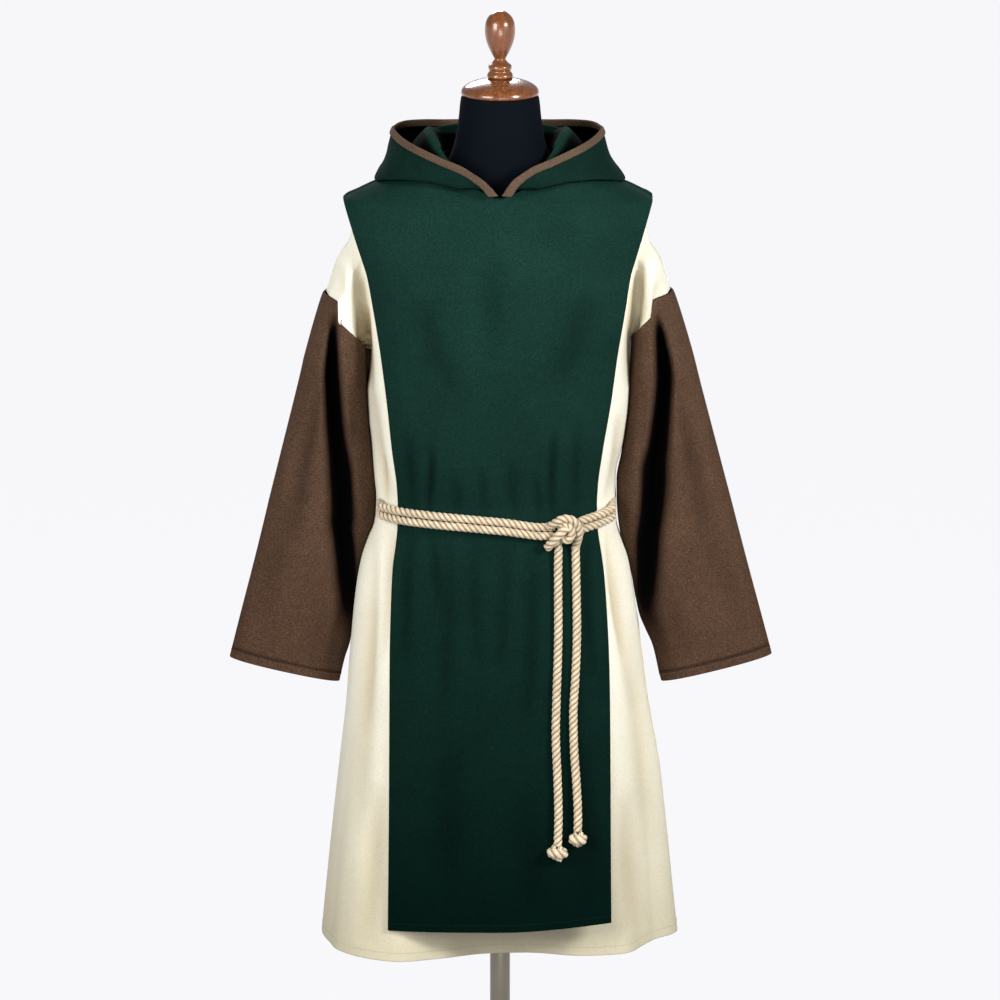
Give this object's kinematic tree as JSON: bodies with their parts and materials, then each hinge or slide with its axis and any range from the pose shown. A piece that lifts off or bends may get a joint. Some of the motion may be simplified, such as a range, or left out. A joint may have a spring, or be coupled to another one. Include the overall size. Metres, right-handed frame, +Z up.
{
  "type": "monk habit on a limbless dress form",
  "caption": "Wool monk habit: cream tunic, brown sleeves, green hooded scapular and knotted rope belt, on a limbless dress form with a floor stand.",
  "frame": {"origin": "centre of the stand's round base on the floor, under the pole", "axes": "+Z up, the garment's front faces -Y, +X is to the right seen from the front"},
  "size_m": [0.76, 0.396, 1.7096],
  "materials": {
    "cream_wool": "felted, matt",
    "brown_wool": "heathered, matt",
    "green_wool": "felted, matt",
    "binding_tape": "folded tape, matt",
    "tan_rope": "three-strand laid, matt",
    "form_cloth": "tight knit cover, matt",
    "turned_wood": "varnished, glossy",
    "stand_steel": "brushed, satin"
  },
  "bodies": {
    "root": {"base": "stand_steel", "pole_collar": "stand_steel", "pole": "stand_steel", "form_torso": "form_cloth", "neck_cap": "turned_wood", "finial": "turned_wood", "tunic_front": "cream_wool", "tunic_back": "cream_wool", "sleeve_left": "brown_wool", "sleeve_right": "brown_wool", "scapular_front": "green_wool", "scapular_back": "green_wool", "hood_left": "green_wool", "hood_right": "green_wool", "hood_binding": "binding_tape", "belt_turn_upper": "tan_rope", "belt_turn_lower": "tan_rope", "belt_knot": "tan_rope", "tail_left": "tan_rope", "tail_right": "tan_rope", "tail_knot_left": "tan_rope", "tail_knot_right": "tan_rope"}
  },
  "joints": []
}
